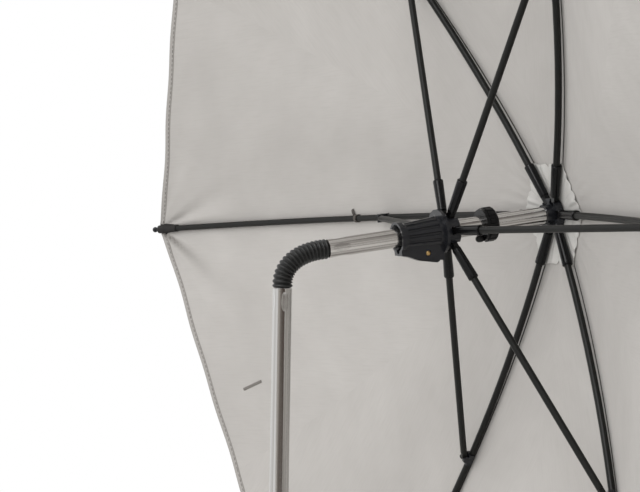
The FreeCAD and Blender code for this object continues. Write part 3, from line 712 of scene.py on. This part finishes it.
def closed_sheet(name, inner, outer, flat, double_cloth_and_crease_shade, material):
    """A thin closed sheet from its inner and outer grid of points."""
    rows, cols = inner.shape[:2]
    count = rows * cols
    grid = np.arange(count).reshape(rows, cols)
    quads = np.stack([grid[:-1, :-1], grid[:-1, 1:], grid[1:, 1:], grid[1:, :-1]], -1).reshape(-1, 4)
    rim = np.concatenate([grid[0, :], grid[1:, -1], grid[-1, -2::-1], grid[-2:0:-1, 0]])
    after = np.roll(rim, -1)
    edge = np.stack([after, rim, rim + count, after + count], -1)
    points = np.concatenate([inner.reshape(-1, 3), outer.reshape(-1, 3)])
    mesh = bpy.data.meshes.new(name)
    mesh.from_pydata(points.tolist(), [], np.concatenate([quads, quads[:, ::-1] + count, edge]).tolist())
    mesh.update()
    first = mesh.polygons[0]
    if first.normal.dot(Vector(inner[0, 0] - outer[0, 0])) < 0:
        mesh.flip_normals()
    mesh.polygons.foreach_set("use_smooth", np.ones(len(mesh.polygons), bool))
    corners = np.zeros(len(mesh.loops), np.int32)
    mesh.loops.foreach_get("vertex_index", corners)
    spread = np.concatenate([flat.reshape(-1, 2), flat.reshape(-1, 2)])
    mesh.uv_layers.new(name="cut").data.foreach_set("uv", spread[corners].astype(np.float32).ravel())
    depth = np.concatenate([double_cloth_and_crease_shade.ravel(), double_cloth_and_crease_shade.ravel()]).astype(np.float32)
    mesh.attributes.new("double_cloth_and_crease_shade", "FLOAT", "POINT").data.foreach_set("value", depth)
    mesh.materials.append(material)
    piece = bpy.data.objects.new(name, mesh)
    scene.collection.objects.link(piece)
    return piece


def smooth_over(piece, normals):
    """Shading normals of the whole canopy, so that its two halves meet without a crease."""
    both = np.concatenate([normals.reshape(-1, 3), -normals.reshape(-1, 3)])
    piece.data.normals_split_custom_set_from_vertices(both.tolist())


GORE_GATHER = (192.0, math.radians(13))
ROSETTE_GATHER = (16.0, math.radians(4))


def gather(piece, k, hand, anchor_at, lean):
    """The piece goes with its rib."""
    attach(piece, "rib_%d" % k)
    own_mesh(piece)


# Polyester pongee: a fine plain weave with a soft sheen, slightly mottled. Painted shade darkens it where it
# lies double, in a line along the turned hem's edge, in the creases at the rib tips and in a dark line along
# each seam.
# The real threads are 0.2 mm apart, and are drawn at 0.7 mm so that they show.
WAVE_UNIT = 2 * math.pi / 20
PONGEE_THREAD = 0.0007
SLUB = (0.0011, 0.018)
SEAM_SHADE_HALF_WIDTH = 0.0007
SEAM_SHADE_BLUR = 0.0002
SEAM_SHADE_BEGINS = (0.022, 0.026)
SEAM_SHADE_STOPS = (0.376, 0.366)


def plain_weave(tree, cut, thread):
    """The height of a plain weave, from the spacing of its threads in metres."""
    bands = [add_node(tree, "ShaderNodeTexWave",
                      {"bands_direction": way, "Scale": WAVE_UNIT / thread, "Vector": cut}, "Fac")
             for way in "XY"]
    return maths(tree, "MULTIPLY", *bands)


pongee, tree, shader = new_material("grey polyester pongee")
cut = add_node(tree, "ShaderNodeUVMap", {"uv_map": "cut"})
drawn = add_node(tree, "ShaderNodeMapping", {"Scale": (1 / SLUB[0], 1 / SLUB[1], 1.0), "Vector": cut})
slub = speckle(tree, drawn, 1.0, 3.0)
blotch = ranged(tree, speckle(tree, cut, 0.07, 4.0, 0.55), source=(0.3, 0.7))
cloth_tint = tinted(tree, blotch, "#BBB8B5", "#C6C3C0")
thread_tint = tinted(tree, ranged(tree, slub, (0.0, 0.3), (0.45, 0.8)), cloth_tint, "#B2AFAB")
# Painted shade: darker where the cloth lies double, and darkest in a line along the turned hem's edge and in
# the tip creases.
double_and_crease_shade_share = add_node(tree, "ShaderNodeAttribute", {"attribute_name": "double_cloth_and_crease_shade"}, "Fac")
double_cloth_shade_tint = tinted(tree, double_and_crease_shade_share, thread_tint, "#AEABA8")
hem_edge_and_crease_step = maths(tree, "PINGPONG", double_and_crease_shade_share, 0.5)
hem_edge_and_crease_shade_tint = tinted(tree, ranged(tree, hem_edge_and_crease_step, (0.0, 0.85), (0.0, 0.35)), double_cloth_shade_tint, "#837F7B")
aside, outward = (add_node(tree, "ShaderNodeSeparateXYZ", {0: cut}, axis) for axis in (0, 1))
# Painted shade: a dark line along each seam, where the two halves meet behind the rib, from the rosette's
# edge to near the tip.
from_seam = maths(tree, "ABSOLUTE", aside)
in_seam_shade = ranged(tree, from_seam, source=(SEAM_SHADE_HALF_WIDTH + SEAM_SHADE_BLUR, SEAM_SHADE_HALF_WIDTH - SEAM_SHADE_BLUR))
past_patch = ranged(tree, outward, source=SEAM_SHADE_BEGINS)
before_tip = ranged(tree, outward, source=SEAM_SHADE_STOPS)
stitches_and_seam_shade = maths(tree, "MULTIPLY", maths(tree, "MULTIPLY", in_seam_shade, past_patch), before_tip)
creases = add_node(tree, "ShaderNodeBump",
                   {"Strength": 0.35, "Distance": 0.0022, "Height": speckle(tree, cut, 0.035, 3.0)})
threads = add_node(tree, "ShaderNodeBump", {"Strength": 0.25, "Distance": 0.00012, "Normal": creases,
                                            "Height": plain_weave(tree, cut, PONGEE_THREAD)})
fill(tree, shader, {"Base Color": tinted(tree, stitches_and_seam_shade, hem_edge_and_crease_shade_tint, "#2B2927"), "Normal": threads,
                    "Roughness": ranged(tree, slub, (0.72, 0.88)), "Specular IOR Level": 0.3,
                    "Sheen Weight": 0.12, "Sheen Roughness": 0.4})

# The cloth's mesh: rows by their distance from the hem and columns by their distance from the seam, in
# millimetres. Both are closer near the edges, and the columns close up where the gore is narrow.
down_rows = np.concatenate([np.linspace(CLOTH_END - CLOTH_START, 62.0, 86), np.linspace(59.5, 9.0, 25),
                            [6.0, 4.1, 3.3, 2.0, 0.7, 0.0]])
shares = 1 - down_rows / (CLOTH_END - CLOTH_START)
beside_cols = np.array([0.0, 1.0, 2.4, 4.2, 5.0, 7.0])
inside_cols = np.linspace(0.0, 1.0, 46)[1:] ** 1.35
NARROW_GORE = 16.0
HEM_STEP = 0.45
SIDE_STEP = 0.001
DOWN_STEP = 0.5
canopy = {}
for k in SPOKES:
    for hand in (LEFT, RIGHT):
        rough_radius = rib_line(CLOTH_START + (CLOTH_END - CLOTH_START) * shares)[0]
        width = (np.maximum(rough_radius, 1.0) * math.sin(HALF_GORE))[:, None]
        near = beside_cols[None, :] * np.minimum(1.0, width / NARROW_GORE)
        far = near[:, -1:] + (width - near[:, -1:]) * inside_cols[None, :]
        beside = np.concatenate([near, far], 1)
        side = beside / width
        end = hem_end(side)
        distance = CLOTH_START + (end - CLOTH_START) * shares[:, None]
        # Double cloth on the turned hem, and painted shade in the rib tips' first creases; both also thicken
        # the cloth.
        double_cloth_and_crease_shade = np.maximum(turned_hem(beside, end - distance),
                            pinched_crease_shade(gore_of(k, hand), -hand, beside, width, end - distance))
        lift = cloth_lift(distance)
        inner = gore_points(k, hand, side, distance, end, lift - HEM_STEP * double_cloth_and_crease_shade)
        outer = gore_points(k, hand, side, distance, end, lift + CLOTH_THICKNESS)
        flat = np.stack([hand * beside, distance], -1) / 1000
        piece = closed_sheet("canopy_gore_%d%s" % (k, "ab"[hand > 0]), inner, outer, flat, double_cloth_and_crease_shade, pongee)
        nearer = gore_points(k, hand, side - SIDE_STEP, distance, end, lift)
        farther = gore_points(k, hand, side + SIDE_STEP, distance, end, lift)
        above = gore_points(k, hand, side, distance - DOWN_STEP, end, lift)
        below = gore_points(k, hand, side, distance + DOWN_STEP, end, lift)
        normals = np.cross(farther - nearer, below - above)
        normals /= np.linalg.norm(normals, axis=-1, keepdims=True)
        normals *= np.sign(np.sum(normals * (inner - outer), -1, keepdims=True))
        smooth_over(piece, normals)
        gather(piece, k, hand, *GORE_GATHER)
        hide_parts("canopy_panel_%d" % k)
        canopy[k, hand] = piece

# Rosette: a pale patch of stiffened cotton under the gores' points, with pinked edges, which keeps the
# sockets from chafing the canopy. It is caught with the canopy under the crown's cap.
ROSETTE_LIFT = 3.2
ROSETTE_THICKNESS = 0.3
ROSETTE_START = CLOTH_START + 0.05
ROSETTE_ROWS = 30
ROSETTE_PLEAT = 0.9
ROSETTE_FREE = (6.0, 20.0)
PINKS = 29
PINK_DEPTH = 0.5
NOTCH_DEPTH = 2.2
NOTCH_WIDTH = 0.09
SCALLOP_DEPTH = 0.6
COTTON_THREAD = 0.0006
cotton, tree, shader = new_material("white stiffened cotton")
cut = add_node(tree, "ShaderNodeUVMap", {"uv_map": "cut"})
threads = add_node(tree, "ShaderNodeBump", {"Strength": 0.3, "Distance": 0.00012,
                                            "Height": plain_weave(tree, cut, COTTON_THREAD)})
stain = speckle(tree, cut, 0.009, 4.0)
fill(tree, shader, {"Base Color": tinted(tree, stain, "#C4C2BF", "#DDDCD9"), "Roughness": 0.85,
                    "Normal": threads})
for k in SPOKES:
    for hand in (LEFT, RIGHT):
        side = np.linspace(0.0, 1.0, PINKS)[None, :]
        pinked = ROSETTE_EDGE - PINK_DEPTH * (np.arange(PINKS) % 2)[None, :]
        pinked = pinked - NOTCH_DEPTH * np.exp(-((1 - side) / NOTCH_WIDTH) ** 2)
        pinked = pinked - SCALLOP_DEPTH * np.sin(np.pi * side) ** 2
        distance = ROSETTE_START + (pinked - ROSETTE_START) * np.linspace(0.0, 1.0, ROSETTE_ROWS)[:, None]
        side = np.broadcast_to(side, distance.shape)
        pleat = ROSETTE_PLEAT * np.sin(np.pi * side) ** 2 * (0.5 - 0.5 * np.cos(5 * np.pi * side))
        lift = ROSETTE_LIFT - pleat * between(distance, ROSETTE_FREE)
        flat = np.stack([hand * side * (distance + PIVOT_RADIUS) / 2, distance], -1) / 1000
        inner = gore_points(k, hand, side, distance, CLOTH_END, lift)
        outer = gore_points(k, hand, side, distance, CLOTH_END, lift + ROSETTE_THICKNESS)
        piece = closed_sheet("crown_rosette_%d%s" % (k, "ab"[hand > 0]), inner, outer, flat,
                             np.zeros(side.shape), cotton)
        gather(piece, k, hand, *ROSETTE_GATHER)
        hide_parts("canopy_rosette")

# Stitching: a lockstitch of grey polyester thread that holds the turned hem, one row to each half gore. Each
# stitch is a short bead that stands a little out of the cloth.
THREAD_RADIUS = 0.22
STITCH_PITCH = 3.4
STITCH_LENGTH = 2.5
STITCH_ROW = 2.8
STITCH_RISE = 0.05
thread_grey, tree, shader, _ = mottled("grey sewing thread", 0.0006, ("#6E6A66", "#85817C"), 2.0)
fill(tree, shader, {"Roughness": 0.7})

stitch_tree, given, _ = new_group(
    "row of stitches", {"Pitch": STITCH_PITCH / 1000, "Length": STITCH_LENGTH / 1000,
                        "Thread": THREAD_RADIUS / 1000}, "Stitches")
row = add_node(stitch_tree, "GeometryNodeResampleCurve",
               {"mode": "LENGTH", "Curve": given.outputs["Line"], "Length": given.outputs["Pitch"]})
heading = add_node(stitch_tree, "GeometryNodeInputTangent")
aligned = add_node(stitch_tree, "FunctionNodeAlignRotationToVector", {"axis": "X", "Vector": heading})
bead = add_node(stitch_tree, "GeometryNodeMeshUVSphere", {"Segments": 8, "Rings": 6, "Radius": 1.0}, "Mesh")
half = maths(stitch_tree, "MULTIPLY", given.outputs["Length"], 0.5)
size = add_node(stitch_tree, "ShaderNodeCombineXYZ",
                {0: half, 1: given.outputs["Thread"], 2: given.outputs["Thread"]})
stitches_and_seam_shade = add_node(stitch_tree, "GeometryNodeInstanceOnPoints",
                {"Points": row, "Instance": bead, "Rotation": aligned, "Scale": size})
end_group(stitch_tree, stitches_and_seam_shade, thread_grey, "Stitches")

sewn_on = {}
for k, hand in canopy:
    side = np.linspace(0.03, 0.995, 90)
    end = hem_end(side)
    row_at = end - STITCH_ROW
    row_lift = cloth_lift(row_at) - HEM_STEP - STITCH_RISE
    row_points = gore_points(k, hand, side, row_at, end, row_lift)
    stitches = grown_along("stitches_%d%s" % (k, "ab"[hand > 0]), row_points, stitch_tree, {})
    gather(stitches, k, hand, *GORE_GATHER)
    sewn_on[k, hand] = [stitches]

# Rib ties: short ends of dark grey cotton tape, sewn into the seams and knotted round the ribs half way out.
# The knot is a close loop, and the cut end lies on the cloth beside it.
KNOT_AT = 185.6
KNOT_THICKNESS = 0.6
KNOT_GAP = 0.06
KNOT_TURN = math.radians(128)
KNOT_OPENS = 1.75
KNOT_EASE = 0.48
TIE_WIDTH = 1.9
TIE_THICKNESS = 0.3
TAIL_START = (1.4, 190.4)
TAIL_RUN = (5.2, 4.0)
TAIL_SLANT = (0.55, -0.8)
TAIL_GAP = 0.2
TAIL_BOW = 0.5
ROD_RADIUS = 1.9


def woven_tape(name, grain, tints, roughness):
    """Narrow tape with a rough twill."""
    material, tree, shader, twill = mottled(name, grain, tints)
    bump = add_node(tree, "ShaderNodeBump", {"Strength": 0.4, "Distance": 0.0001, "Height": twill})
    fill(tree, shader, {"Roughness": roughness, "Normal": bump})
    return material


tape = woven_tape("dark grey cotton tape", 0.0005, ("#45413E", "#625D59"), 0.85)
for k in SPOKES:
    radius, station, heading = rib_line(np.float64(KNOT_AT))
    turn = np.linspace(-KNOT_TURN, KNOT_TURN, 25)
    ring = np.stack([np.sin(turn), -np.cos(turn)], -1)
    held = np.clip((np.abs(turn) - KNOT_OPENS) / KNOT_EASE, 0.0, 1.0)
    shells = []
    for gap in (KNOT_GAP, KNOT_GAP + KNOT_THICKNESS):
        sideways = ring[:, 0] * (ROD_RADIUS + gap)
        outwards = ring[:, 1] * (ROD_RADIUS + gap)
        outwards = outwards + held * (RIB_LIFT - KNOT_GAP - outwards)
        across = np.linspace(-0.5, 0.5, 5)[None, :] * TIE_WIDTH
        x = radius + outwards[:, None] * math.cos(heading) + across * math.sin(heading)
        z = station + outwards[:, None] * math.sin(heading) - across * math.cos(heading)
        shells.append(on_spoke(k, x, np.broadcast_to(sideways[:, None], x.shape), z))
    flat = np.stack(np.broadcast_arrays(turn[:, None] * ROD_RADIUS, across), -1) / 1000
    loop = closed_sheet("tie_loop_%d" % k, shells[0], shells[1], flat, np.zeros(flat.shape[:2]), tape)
    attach(loop, "rib_%d" % k)
    sewn_on[k, RIGHT].append(loop)

    run = np.linspace(0.0, 1.0, 9)[:, None]
    across = np.linspace(-0.5, 0.5, 5)[None, :] * TIE_WIDTH
    beside = TAIL_START[0] + TAIL_RUN[0] * run + TAIL_SLANT[0] * across
    distance = TAIL_START[1] + TAIL_RUN[1] * run + TAIL_SLANT[1] * across
    side = beside / (rib_line(distance)[0] * math.sin(HALF_GORE))
    end = hem_end(side)
    under = cloth_lift(distance) - TAIL_GAP - TAIL_BOW * np.sin(np.pi * run)
    inner = gore_points(k, RIGHT, side, distance, end, under - TIE_THICKNESS)
    outer = gore_points(k, RIGHT, side, distance, end, under)
    flat = np.stack([beside, distance], -1) / 1000
    tail = closed_sheet("tie_tail_%d" % k, inner, outer, flat, np.zeros(side.shape), tape)
    gather(tail, k, RIGHT, *GORE_GATHER)
    sewn_on[k, RIGHT].append(tail)

# Corner pockets: black tape sewn to the canopy's corners with a flap on each side. The ribs' ends sit in
# them, behind their ball tips.
POCKET = (362.0, 379.0)
POCKET_WRAP = math.radians(118)
POCKET_GAP = 0.12
POCKET_WIDTH = 8.0
FLAP_FROM = 0.72
FLAP_WIDTH = (0.2, 1.6)
SEAT_DEPTH = 0.4
SEAT_STEP = 0.25
CAP_RADIUS = 2.4
CAP_FROM = 0.5
CAP_EASE = 0.3
black_tape = woven_tape("black polyester tape", 0.0006, ("#121110", "#211F1E"), 0.75)
for k in SPOKES:
    along = np.linspace(0.0, 1.0, 13)[None, :]
    distance = POCKET[0] + (POCKET[1] - POCKET[0]) * along
    radius, station, heading = rib_line(distance)
    turn = np.linspace(-1.0, 1.0, 33)[:, None]
    wrap = POCKET_WRAP * np.clip(turn / FLAP_FROM, -1.0, 1.0)
    flap = np.clip((np.abs(turn) - FLAP_FROM) / (1 - FLAP_FROM), 0.0, 1.0)
    shells = []
    for gap in (POCKET_GAP, POCKET_GAP + TIE_THICKNESS):
        hold = gap + ROD_RADIUS + (CAP_RADIUS - ROD_RADIUS) * ease((along - CAP_FROM) / CAP_EASE)
        sideways = np.sin(wrap) * hold + np.sign(turn) * flap * (FLAP_WIDTH[0] + FLAP_WIDTH[1] * along)
        seat = RIB_LIFT - SEAT_DEPTH + SEAT_STEP * (gap == POCKET_GAP)
        outwards = -np.cos(wrap) * hold + flap * (seat + np.cos(wrap) * hold)
        x = radius + outwards * np.cos(heading)
        z = station + outwards * np.sin(heading)
        shells.append(on_spoke(k, x, sideways + 0.0 * x, z))
    flat = np.stack(np.broadcast_arrays(turn * POCKET_WIDTH, distance), -1) / 1000
    pocket = closed_sheet("corner_pocket_%d" % k, shells[0], shells[1], flat, np.zeros(flat.shape[:2]),
                          black_tape)
    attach(pocket, "rib_%d" % k)
    sewn_on[k, RIGHT].append(pocket)

# Sewn bar: a close zigzag of grey thread on one gore, near the hem. It catches the closing strap, which lies
# on the outside.
BAR_GORE = (1, LEFT)
BAR = (329.0, 348.0)
BAR_SIDE = 0.729
BAR_HALF_WIDTH = 0.0055
BAR_WOBBLE = 0.0011
BAR_SINK = 0.1
BAR_FOOT = 0.16
BAR_RIDGE = 0.22
ZIGZAG = 2 * math.pi * 19
run = np.linspace(0.0, 1.0, 77)[:, None]
across = np.linspace(-1.0, 1.0, 7)[None, :]
distance = BAR[0] + (BAR[1] - BAR[0]) * run + 0.0 * across
side = BAR_SIDE + BAR_HALF_WIDTH * across + BAR_WOBBLE * np.sin(ZIGZAG * run)
end = hem_end(side)
ridge = BAR_FOOT + BAR_RIDGE * (1 - across ** 2) * (0.7 + 0.3 * np.cos(ZIGZAG * run + 2.2 * across))
inner = gore_points(*BAR_GORE, side, distance, end, cloth_lift(distance) - BAR_SINK - ridge)
outer = gore_points(*BAR_GORE, side, distance, end, cloth_lift(distance) + BAR_SINK)
flat = np.stack([side * 0.3, distance], -1) / 1000
bar = closed_sheet("strap_bartack", inner, outer, flat, np.zeros(side.shape), thread_grey)
gather(bar, *BAR_GORE, *GORE_GATHER)
sewn_on[BAR_GORE].append(bar)
